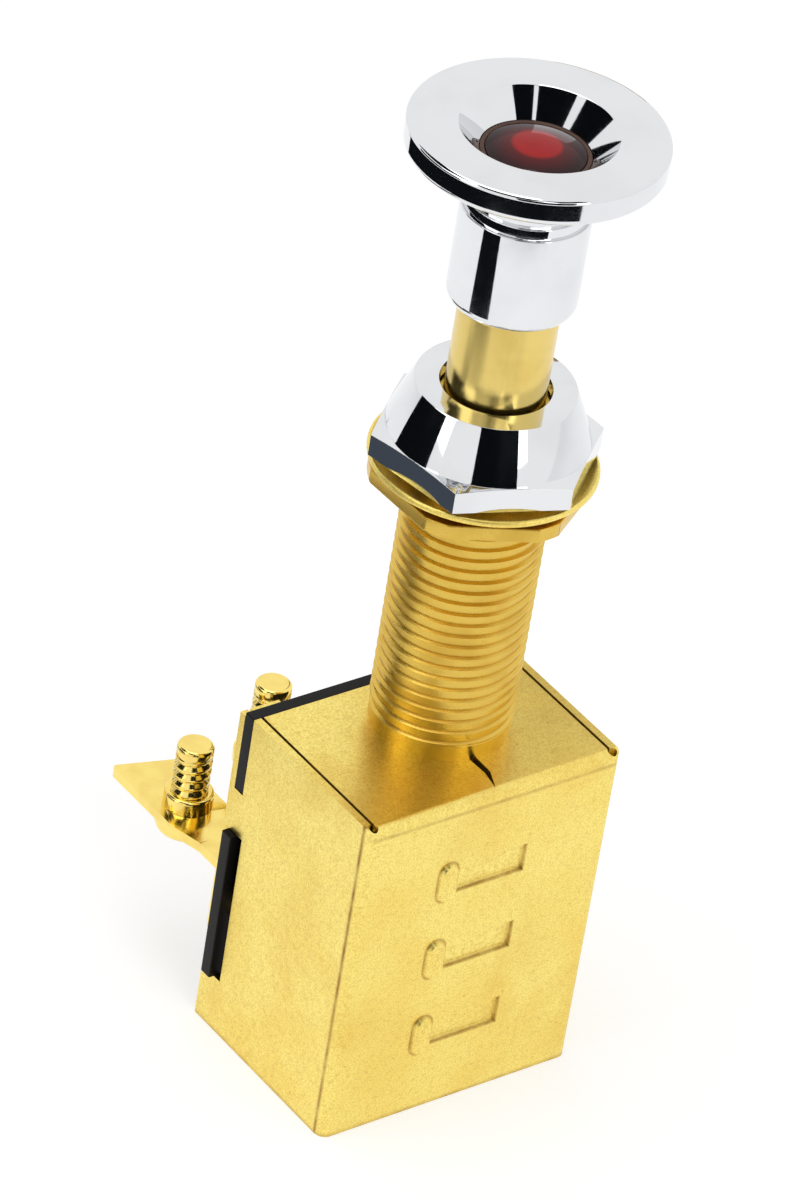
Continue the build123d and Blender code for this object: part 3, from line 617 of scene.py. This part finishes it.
def rolled_brass(name, with_painted_shade):
    """Satin sheet brass with a fine grain, sparse dark specks and faint clouds, and where asked brown
    painted shade in the case's marks, bends and edges.
    """
    finish = Finish(name, Metallic=1.0)
    place = finish.place()
    cloud = finish.between(finish.noise(place, scale=120.0, detail=4.0), 0.35, 0.7)
    grain = finish.noise(place, scale=5200.0, detail=2.0, roughness=0.6)
    mottle = finish.between(finish.noise(place, scale=1300.0, roughness=0.6), 0.42, 0.72)
    smudge_noise = finish.noise(finish.stretched((1.0, 1.0, 0.6)), scale=85.0, detail=5.0, roughness=0.6)
    smudge = finish.between(smudge_noise, 0.52, 0.72)
    speck_noise = finish.noise(finish.stretched((1.0, 1.0, 1.6)), scale=1500.0, roughness=0.65)
    speck = finish.between(speck_noise, 0.62, 0.76)
    tone = finish.blend(cloud, SHEET_PALE, SHEET_GOLD)
    tone = finish.blend(finish.between(grain, 0.38, 0.68) * 0.62, tone, SHEET_GRAIN)
    tone = finish.blend(mottle * 0.22, tone, SHEET_MOTTLE)
    tone = finish.blend(smudge * 0.30, tone, SHEET_SMUDGE)
    tone = finish.blend(speck * 0.55, tone, SHEET_SPECK)
    if with_painted_shade:
        # Painted shade: brown lines in the case's marks, bends and edges
        tone = finish.blend(stamped_shade(finish, place), tone, PAINTED_SHADE_BROWN)
    return finish.set(
        Base_Color=tone,
        Roughness=0.27 + 0.08 * grain + 0.06 * cloud,
        Normal=finish.bump(grain, strength=0.14, distance=GRAIN_RELIEF),
    )


def turned_brass():
    """Bright turned brass with fine tool rings."""
    finish = Finish("turned_brass", Metallic=1.0)
    rings = finish.noise(finish.stretched((60.0, 60.0, 9000.0)), scale=1.0)
    stain = finish.between(finish.noise(finish.place(), scale=240.0), 0.4, 0.72)
    return finish.set(
        Base_Color=finish.blend(stain * 0.6, TURNED_GOLD, TURNED_STAIN),
        Roughness=0.23 + 0.07 * rings + 0.05 * stain,
        Normal=finish.bump(rings, strength=0.10, distance=GRAIN_RELIEF),
    )


def brushed_brass():
    """Plunger brass, polished along its length with fine scratches."""
    finish = Finish("brushed_brass", Metallic=1.0)
    strokes = finish.noise(finish.stretched((5200.0, 5200.0, 160.0)), scale=1.0)
    stain = finish.between(finish.noise(finish.place(), scale=300.0), 0.42, 0.7)
    return finish.set(
        Base_Color=finish.blend(stain * 0.5, TUBE_GOLD, TUBE_STAIN),
        Roughness=0.16 + 0.10 * strokes,
        Normal=finish.bump(strokes, strength=0.10, distance=STROKE_RELIEF),
    )


def polished_tab():
    """Deep gold terminal brass with brown clouds."""
    finish = Finish("polished_tab", Metallic=1.0)
    cloud = finish.between(finish.noise(finish.place(), scale=380.0, detail=4.0), 0.38, 0.7)
    speck = finish.noise(finish.place(), scale=3000.0, detail=2.0)
    return finish.set(
        Base_Color=finish.blend(cloud * 0.25, TAB_GOLD, TAB_CLOUD),
        Roughness=0.12 + 0.05 * cloud + 0.05 * speck,
        Normal=finish.bump(speck, strength=0.06, distance=GRAIN_RELIEF),
    )


def bright_chrome():
    """Mirror plating with the faintest orange peel."""
    finish = Finish("bright_chrome", Metallic=1.0)
    peel = finish.noise(finish.place(), scale=700.0, detail=2.0)
    haze = finish.between(finish.noise(finish.place(), scale=150.0), 0.4, 0.75)
    return finish.set(
        Base_Color=finish.blend(haze, CHROME_BRIGHT, CHROME_HAZE),
        Roughness=0.035 + 0.04 * haze,
        Normal=finish.bump(peel, strength=0.035, distance=PEEL_RELIEF),
    )


def black_laminate():
    """Black phenolic laminate: satin face with a fine dull grain."""
    finish = Finish("black_laminate", Specular_IOR_Level=0.12)
    grain = finish.noise(finish.place(), scale=2200.0)
    layers = finish.noise(finish.stretched((300.0, 9000.0, 300.0)), scale=1.0, detail=2.0)
    return finish.set(
        Base_Color=finish.blend(layers, LAMINATE_BLACK, LAMINATE_LAYER),
        Roughness=0.26 + 0.14 * grain,
        Normal=finish.bump(grain, strength=0.10, distance=PEEL_RELIEF),
    )


def red_lens(axis_reach):
    """Deep red moulded lens, with painted light: a bright red middle and a softer halo round it, over the
    lamp.
    """
    finish = Finish("red_lens", Coat_Weight=0.55, Coat_Roughness=0.02, Specular_IOR_Level=0.0)
    x = finish.node("ShaderNodeSeparateXYZ", None, {0: finish.place()})
    y = x.beside("Y")
    radius = (x * x + y * y) ** 0.5 / axis_reach
    # Painted light: bright red middle and halo that fade out from the lens's axis
    middle = 1 - finish.between(radius, 0.44, 0.55)
    halo = 1 - finish.between(radius, 0.45, 0.95)
    mottle = finish.noise(finish.place(), scale=900.0, detail=2.0)
    colour = finish.blend(halo, LENS_DEEP, LENS_PAINTED_HALO)
    colour = finish.blend(middle * (0.75 + 0.25 * mottle), colour, LENS_PAINTED_GLOW)
    return finish.set(Base_Color=colour, Roughness=0.10 + 0.06 * mottle)


def plain(name, colour, other, scale, roughness, metallic=0.0):
    """Finish of a hidden piece: two near tones in a fine noise."""
    finish = Finish(name, Metallic=metallic)
    grain = finish.noise(finish.place(), scale)
    return finish.set(
        Base_Color=finish.blend(grain, colour, other),
        Roughness=roughness + 0.12 * grain,
        Normal=finish.bump(grain, strength=0.06, distance=GRAIN_RELIEF),
    )


# Pieces
def make_bushing(finish):
    """Threaded barrel with its plain neck, tenon and peened end."""
    low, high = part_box("bushing")
    case_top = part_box("case")[1][2]
    radius = high[0]
    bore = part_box("plunger_tube")[1][0] + BORE_CLEARANCE
    neck_top = case_top + NECK_HEIGHT
    barrel = thread_bar(
        "bushing_thread", radius, BUSHING_THREAD_DEPTH, BUSHING_PITCH,
        (BUSHING_CREST, BUSHING_ROOT), neck_top, high[2],
    )
    drill = prism("bushing_drill", TURN_STEPS, bore, neck_top - NECK_HEIGHT, high[2] + NECK_HEIGHT)
    cut(barrel, drill, "DIFFERENCE")
    roof = case_top - SHEET
    foot = turned("bushing_foot", rounded([
        (bore, low[2], 0),
        (PEEN_RADIUS, low[2], PEEN_EDGE),
        (PEEN_RADIUS, roof, 0),
        (TENON_RADIUS, roof, 0),
        (TENON_RADIUS, case_top, 0),
        (NECK_RADIUS, case_top, 0),
        (NECK_RADIUS, neck_top, NECK_EDGE),
        (bore, neck_top, 0),
    ]))
    piece = join([barrel, foot])
    smooth(piece, BUSHING_ANGLE)
    stands_for(piece, "bushing", "housing", finish)


def make_studs(finish):
    """Terminal screws: one threaded shank over a round head, copied to each terminal."""
    core = STUD_RADIUS - STUD_THREAD_DEPTH
    inner = core / 2
    collar_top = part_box("terminal_left")[1][2]
    tab_top = collar_top - TERMINAL_COLLAR
    top = tab_top + STUD_RISE
    under = tab_top - TAB_SHEET
    start = collar_top - STUD_PITCH
    stud = thread_bar(
        "terminal_studs", STUD_RADIUS, STUD_THREAD_DEPTH, STUD_PITCH,
        (STUD_CREST, STUD_ROOT), start, top - STUD_PLAIN_END,
    )
    end = turned("stud_end", rounded([
        (inner, top - 2 * STUD_PLAIN_END, 0),
        (core, top - 2 * STUD_PLAIN_END, 0),
        (STUD_RADIUS, top - STUD_PLAIN_END - STUD_THREAD_DEPTH, 0),
        (STUD_RADIUS, top, STUD_LEAD_IN),
        (inner, top, 0),
    ]), steps=STUD_STEPS)
    head = turned("stud_head", rounded([
        (inner, under - HEAD_HEIGHT, 0),
        (HEAD_RADIUS, under - HEAD_HEIGHT, HEAD_HEIGHT / 2),
        (HEAD_RADIUS, under, 0),
        (core, under, 0),
        (core, start, 0),
        (inner, start, 0),
    ]), steps=STUD_STEPS)
    filling = prism("stud_core", STUD_STEPS, inner, under - HEAD_HEIGHT, top)
    stud = join([stud, end, head, filling])
    smooth(stud, STUD_ANGLE, flat=False)
    pieces = []
    for node in ("terminal_left", "terminal_middle", "terminal_right"):
        low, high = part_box(node)
        copy = stud.copy()
        copy.data = stud.data.copy()
        bpy.context.scene.collection.objects.link(copy)
        copy.location = ((low[0] + high[0]) / 2, low[1] + STUD_FROM_BOARD, high[2] - collar_top)
        settle(copy)
        pieces.append(copy)
    bpy.data.objects.remove(stud, do_unlink=True)
    studs = join(pieces)
    studs.name = "terminal_studs"
    stands_for(studs, "terminal_screws", "housing", finish)


def make_bezel_nut(finish):
    """Chrome hexagon under a slightly domed cone, with small ledges left at its corners."""
    low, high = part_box("bezel_nut")
    base, top = low[2], high[2]
    corner = NUT_FLATS / math.sqrt(3)
    over = corner + CLEARANCE
    foot = (NUT_FLATS / 2 - CLEARANCE, base + NUT_BAND + NUT_LEDGE)
    brow = (NUT_TOP_RADIUS, top)
    knee = ((foot[0] + brow[0]) / 2 + 2 * NUT_BULGE, (foot[1] + brow[1]) / 2 + NUT_BULGE)
    dome = [(over, base - CLEARANCE), (over, base + NUT_BAND), foot]
    for step in range(1, CURVE_STEPS + 1):
        t = step / CURVE_STEPS
        dome.append(tuple(
            (1 - t) ** 2 * foot[axis] + 2 * t * (1 - t) * knee[axis] + t * t * brow[axis] for axis in (0, 1)
        ))
    nut = prism("bezel_nut_hex", 6, corner, base, top, turn=NUT_TURN)
    hole_foot = (NUT_HOLE_RADIUS, base - CLEARANCE)
    hole_top = (NUT_HOLE_RADIUS, top)
    envelope = turned("bezel_nut_dome", [hole_foot, *dome, hole_top])
    cut(nut, envelope, "INTERSECT")
    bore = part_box("bushing")[1][0] + CLEARANCE
    drill = turned("bezel_nut_bore", [
        (NUT_HOLE_RADIUS / 2, base - NUT_LIP),
        (bore, base - NUT_LIP),
        (bore, top - NUT_LIP),
        (NUT_HOLE_RADIUS / 2, top - NUT_LIP),
    ])
    cut(nut, drill, "DIFFERENCE")
    apply_modifier(
        nut, "BEVEL", width=NUT_EDGE, segments=NUT_BEVEL_STEPS, limit_method="ANGLE", angle_limit=NUT_ANGLE,
        use_clamp_overlap=True,
    )
    smooth(nut, NUT_ANGLE)
    stands_for(nut, "bezel_nut", "housing", finish)


def make_collar(finish):
    """Rounded sleeve under the knob, with a small step at its top."""
    low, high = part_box("knob_collar")
    radius = high[0]
    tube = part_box("plunger_tube")[1][0] + CLEARANCE
    step = high[2] - COLLAR_STEP_HEIGHT
    collar = turned("collar_turned", rounded([
        (tube, low[2], COLLAR_MOUTH_EDGE),
        (radius, low[2], COLLAR_EDGE),
        (radius, step, COLLAR_STEP_EDGE),
        (radius - COLLAR_STEP, step, 0),
        (radius - COLLAR_STEP, high[2], COLLAR_STEP_EDGE),
        (tube, high[2], 0),
    ]))
    smooth(collar)
    stands_for(collar, "knob_collar", "plunger", finish)


def make_bezel(finish):
    """Neck that flares into the flat rim round the conical recess."""
    low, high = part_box("knob_bezel")
    rim, top = high[0], high[2]
    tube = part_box("plunger_tube")[1][0] + CLEARANCE
    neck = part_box("knob_collar")[1][0] - 2 * COLLAR_STEP
    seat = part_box("lens_ring")[0][2]
    lens_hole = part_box("lens_ring")[1][0] + CLEARANCE
    under = top - RIM_THICKNESS
    edge = rim - RIM_EDGE_LOWER
    reach = edge - neck
    rise = under - low[2]
    flare = (
        (neck, low[2]),
        (neck, low[2] + FLARE_PULL * rise),
        (edge - FLARE_PULL * reach, under - FLARE_DROP * rise),
        (edge, under),
    )
    profile = [(tube, low[2])]
    for step in range(CURVE_STEPS + 1):
        t = step / CURVE_STEPS
        weights = ((1 - t) ** 3, 3 * t * (1 - t) ** 2, 3 * t * t * (1 - t), t ** 3)
        profile.append(tuple(sum(w * point[axis] for w, point in zip(weights, flare)) for axis in (0, 1)))
    profile += rounded([
        (edge, under, 0),
        (rim, under, RIM_EDGE_LOWER - CLEARANCE),
        (rim, top, RIM_EDGE_UPPER),
        (RECESS_TOP_RADIUS, top, RECESS_EDGE),
        (lens_hole, top - RECESS_DEPTH, 0),
        (lens_hole, seat, 0),
        (tube, seat, 0),
    ])[1:]
    bezel = turned("bezel_turned", profile, steps=RIM_STEPS)
    smooth(bezel)
    stands_for(bezel, "knob_bezel", "plunger", finish)


def make_lens(ring_finish, lens_finish):
    """Dark ring and the domed lens that it seats."""
    ring_low, ring_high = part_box("lens_ring")
    low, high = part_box("lens")
    radius = high[0]
    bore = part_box("plunger_tube")[1][0] - TUBE_WALL
    ring = turned("ring_turned", rounded([
        (bore, ring_low[2], 0),
        (ring_high[0], ring_low[2], 0),
        (ring_high[0], ring_high[2], LENS_RING_EDGE),
        (radius + CLEARANCE, ring_high[2], LENS_RING_EDGE),
        (radius + CLEARANCE, low[2], 0),
        (bore, low[2], 0),
    ]))
    smooth(ring)
    stands_for(ring, "lens_ring", "plunger", ring_finish)
    curve = (radius ** 2 + LENS_DOME ** 2) / (2 * LENS_DOME)
    span = math.asin(radius / curve)
    profile = [(radius - LENS_WALL, low[2]), (radius, low[2])]
    for step in range(CURVE_STEPS):
        angle = span * (1 - step / CURVE_STEPS)
        profile.append((curve * math.sin(angle), high[2] - curve * (1 - math.cos(angle))))
    lens = turned("lens_turned", profile, closed=False)
    smooth(lens, LENS_ANGLE)
    stands_for(lens, "lens", "plunger", lens_finish)


def make_tube(finish):
    """Plunger tube with its stepped spigot."""
    low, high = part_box("plunger_tube")
    radius = high[0]
    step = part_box("carriage")[1][2]
    groove_low, groove_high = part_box("retaining_ring")
    tube = turned("tube_turned", rounded([
        (SPIGOT_RADIUS - TUBE_WALL, low[2], 0),
        (SPIGOT_RADIUS, low[2], SPIGOT_EDGE),
        (SPIGOT_RADIUS, groove_low[2], 0),
        (SPIGOT_RADIUS - GROOVE_DEPTH, groove_low[2], 0),
        (SPIGOT_RADIUS - GROOVE_DEPTH, groove_high[2], 0),
        (SPIGOT_RADIUS, groove_high[2], 0),
        (SPIGOT_RADIUS, step, 0),
        (radius, step, SHOULDER_EDGE),
        (radius, high[2], 0),
        (radius - TUBE_WALL, high[2], 0),
        (radius - TUBE_WALL, step + TUBE_WALL, 0),
        (SPIGOT_RADIUS - TUBE_WALL, step + TUBE_WALL, 0),
    ]))
    smooth(tube)
    stands_for(tube, "plunger_tube", "plunger", finish)


def make_washer(finish):
    """Dished lock washer with softened edges."""
    low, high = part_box("lock_washer")
    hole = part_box("bushing")[1][0] + CLEARANCE
    rim = high[0]
    washer = turned("washer_turned", rounded([
        (hole, low[2], WASHER_HOLE_EDGE),
        (WASHER_KNEE, low[2], 0),
        (rim, high[2] - WASHER_THICKNESS, WASHER_RIM_EDGE),
        (rim, high[2], WASHER_RIM_EDGE),
        (WASHER_KNEE, low[2] + WASHER_THICKNESS, 0),
        (hole, low[2] + WASHER_THICKNESS, WASHER_HOLE_EDGE),
    ]))
    smooth(washer)
    stands_for(washer, "lock_washer", "housing", finish)


# The case's sheet brass carries the painted shade lines; the washer's does not
brass_case = rolled_brass("case_brass", with_painted_shade=True)
brass_sheet = rolled_brass("sheet_brass", with_painted_shade=False)
brass_turned = turned_brass()
brass_tube = brushed_brass()
brass_tab = polished_tab()
chrome = bright_chrome()
laminate = black_laminate()
lens_red = red_lens(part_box("lens")[1][0])
ring_dark = plain(
    "ring_bronze", (0.05, 0.022, 0.012, 1), (0.11, 0.05, 0.03, 1), scale=900.0, roughness=0.35, metallic=0.6
)
wire = plain(
    "spring_wire", (0.55, 0.55, 0.56, 1), (0.68, 0.68, 0.70, 1), scale=1500.0, roughness=0.22, metallic=1.0
)
brown = plain(
    "brown_moulding", (0.09, 0.045, 0.02, 1), (0.14, 0.07, 0.035, 1), scale=1200.0, roughness=0.45
)
cover = plain("lead_cover", (0.02, 0.02, 0.02, 1), (0.04, 0.04, 0.04, 1), scale=1200.0, roughness=0.55)
glass = plain("lamp_glass", (0.75, 0.76, 0.74, 1), (0.82, 0.82, 0.80, 1), scale=500.0, roughness=0.05)

make_bushing(brass_turned)
make_studs(brass_tab)
make_bezel_nut(chrome)
make_collar(chrome)
make_bezel(chrome)
make_lens(ring_dark, lens_red)
make_tube(brass_tube)
make_washer(brass_sheet)
for node, edge, whole_faces, finish, slot in (
    ("case", SHEET_EDGE, True, brass_case, "brass_sheet"),
    ("lock_nut", NUT_EDGE, True, brass_turned, "brass_turned"),
    ("terminal_board", SHEET_EDGE, True, laminate, "laminate"),
    ("terminal_left", TAB_EDGE, False, brass_tab, "brass_tab"),
    ("terminal_middle", TAB_EDGE, False, brass_tab, "brass_tab"),
    ("terminal_right", TAB_EDGE, False, brass_tab, "brass_tab"),
):
    stands_for(dressed(node, edge, whole_faces), node, "housing", finish)

# Springs between the plunger and what they press: each row gives the spring, the part that moves it and its
# fixed and moving end, which the loop does not use; each spring is copied with the wire finish, smoothed
# and baked in place, and its CAD node hidden.
for node, moving, fixed_end, moving_end in (
    ("contact_springs", "bridge", 0, 1),
    ("detent_spring", "detent", 1, 0),
):
    spring = copy_of(node)
    spring.data.materials.clear()
    spring.data.materials.append(wire)
    smooth(spring, flat=False)
    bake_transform(spring)
    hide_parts(node)

# Hidden pieces that stay as the solids have them
for node, finish in {
    "contact_rivets": brass_tab,
    "contact_bridge": brass_tab,
    "lamp_base": brass_sheet,
    "lamp_contact": brass_sheet,
    "lamp_spring": wire,
    "detent_ball": wire,
    "retaining_ring": wire,
    "lamp_insulator": laminate,
    "lamp_lead": cover,
    "carriage": brown,
    "lamp_glass": glass,
}.items():
    nodes[node].data.materials.clear()
    nodes[node].data.materials.append(finish)


# Stage
FLOOR_REACH = 6.0
FLOOR_GLOW = (0.55, 0.55, 0.55, 1)
FLOOR_COLOUR = (0.62, 0.62, 0.62, 1)
ROOM_LIGHT = (0.55, 0.55, 0.56, 1)
WHITE = (1, 1, 1, 1)
BLACK = (0, 0, 0, 1)
CARD_COLOUR = (0.006, 0.007, 0.009, 1)
CARD_BLUE = (0.07, 0.085, 0.11, 1)
CARD_BROWN = (0.46, 0.31, 0.13, 1)
CARD_UMBER = (0.14, 0.095, 0.04, 1)
RING_INNER = 0.180
RING_GROWTH = 1.4
RING_STEPS = 48
RING_SIDE = math.radians(5)
CARD_LIFT = 0.001
MIDDLE = (0, 0, 0.08)


def bench():
    """White bench top that keeps the shadow: part of its white is a glow for the camera and mirrors."""
    finish = Finish(
        "bench_white", Base_Color=FLOOR_COLOUR, Roughness=1.0, Specular_IOR_Level=0.0, Emission_Strength=1.0
    )
    finish.set(Emission_Color=finish.blend(finish.seen(), BLACK, FLOOR_GLOW))
    deselect()
    bpy.ops.mesh.primitive_plane_add(size=FLOOR_REACH)
    floor = named("bench")
    floor.data.materials.append(finish.material)


def mirrored_only(piece, colour):
    """Dull piece out of the picture, seen in mirrors alone: it gives the plating its dark bands."""
    finish = Finish(f"{piece.name}_dull", Base_Color=colour, Roughness=1.0, Specular_IOR_Level=0.0)
    piece.data.materials.append(finish.material)
    piece.visible_camera = False
    piece.visible_diffuse = False
    piece.visible_shadow = False


def card(name, size, place, turn, colour):
    """Flat card."""
    deselect()
    bpy.ops.mesh.primitive_plane_add(size=1)
    piece = named(name)
    piece.scale = (size[0], size[1], 1)
    piece.location = place
    piece.rotation_euler = turn
    mirrored_only(piece, colour)


def ring_card():
    """Half ring on the bench round the object's left side, where the dark of the room begins."""
    deselect()
    bpy.ops.mesh.primitive_circle_add(
        vertices=RING_STEPS, radius=RING_INNER, fill_type="NOTHING", location=(0, 0, CARD_LIFT)
    )
    piece = named("ring_card")
    bpy.ops.object.mode_set(mode="EDIT")
    bpy.ops.mesh.select_all(action="SELECT")
    bpy.ops.mesh.extrude_edges_move()
    bpy.ops.transform.resize(value=(RING_GROWTH, RING_GROWTH, 1), center_override=(0, 0, CARD_LIFT))
    bpy.ops.mesh.select_all(action="SELECT")
    bpy.ops.mesh.bisect(
        plane_co=(0, 0, 0), plane_no=(math.cos(RING_SIDE), math.sin(RING_SIDE), 0), clear_outer=True
    )
    bpy.ops.object.mode_set(mode="OBJECT")
    mirrored_only(piece, CARD_COLOUR)


def standing_card(name, size, azimuth, distance, height, colour=CARD_COLOUR):
    """Card that faces the object from one side."""
    place = around(azimuth, distance, height)
    card(name, size, place, facing(place), colour)


def floor_card(name, size, azimuth, near, colour=CARD_COLOUR, lift=CARD_LIFT):
    """Card that lies on the bench, from a near edge outwards along an azimuth."""
    place = around(azimuth, near + size[0] / 2, lift)
    card(name, size, place, (0, 0, math.radians(azimuth)), colour)


def around(azimuth, distance, height):
    """Place at an azimuth and distance from the plunger's axis."""
    angle = math.radians(azimuth)
    return (distance * math.cos(angle), distance * math.sin(angle), height)


def facing(place):
    """Angles that turn -Z from a place towards the object's middle."""
    return (Vector(MIDDLE) - Vector(place)).to_track_quat("-Z", "Y").to_euler()


def lamp(name, place, size, power):
    """Soft box turned towards the object's middle."""
    light = bpy.data.lights.new(name, "AREA")
    light.shape = "RECTANGLE"
    light.size, light.size_y = size
    light.energy = power
    holder = bpy.data.objects.new(name, light)
    holder.location = place
    holder.rotation_euler = facing(place)
    bpy.context.scene.collection.objects.link(holder)


def surroundings():
    """White room: full white in mirrors and for the camera, softer as light."""
    world = bpy.data.worlds.new("white_room")
    bpy.context.scene.world = world
    room = Nodes(world)
    ground = room.tree.nodes["Background"]
    colour = room.blend(room.seen(), ROOM_LIGHT, WHITE)
    room.tree.links.new(colour.socket, ground.inputs["Color"])


def viewpoint():
    """Camera at the photograph's place."""
    data = bpy.data.cameras.new("camera")
    data.sensor_fit = "VERTICAL"
    data.sensor_height = CAMERA_SENSOR
    data.lens = CAMERA_LENS
    data.clip_end = CAMERA_REACH
    camera = bpy.data.objects.new("camera", data)
    camera.location = CAMERA_PLACE
    camera.rotation_euler = [math.radians(angle) for angle in CAMERA_TURN]
    bpy.context.scene.collection.objects.link(camera)
    bpy.context.scene.camera = camera


bench()
ring_card()
standing_card("camera_side_card", size=(0.44, 0.38), azimuth=-116, distance=0.5, height=0.20)
standing_card("left_back_card", size=(0.34, 0.20), azimuth=149, distance=0.40, height=0.08)
floor_card(
    "left_floor_card", size=(0.041, 0.04), azimuth=151, near=0.098, colour=CARD_BLUE, lift=2 * CARD_LIFT
)
floor_card("left_brown_card", size=(0.032, 0.10), azimuth=128, near=0.084, colour=CARD_UMBER)
floor_card("collar_floor_card", size=(0.05, 0.10), azimuth=178, near=0.145)
standing_card("overhead_card_right", size=(0.25, 0.36), azimuth=-90, distance=0.40, height=0.60)
standing_card("overhead_card_front", size=(0.46, 0.36), azimuth=-152, distance=0.40, height=0.60)
standing_card("overhead_card_left", size=(0.36, 0.32), azimuth=135, distance=0.40, height=0.45)
standing_card(
    "rear_card", size=(0.026, 0.075), azimuth=41.5, distance=0.112, height=0.098, colour=CARD_BROWN
)
lamp("top_box", place=(-0.15, 0.10, 0.75), size=(0.5, 0.5), power=1.1)
lamp("front_box", place=(-0.10, -0.75, 0.45), size=(0.5, 0.6), power=1.4)
lamp("left_box", place=(-0.75, 0.15, 0.40), size=(0.5, 0.5), power=0.7)
surroundings()
viewpoint()
bpy.context.scene.view_settings.view_transform = "Standard"
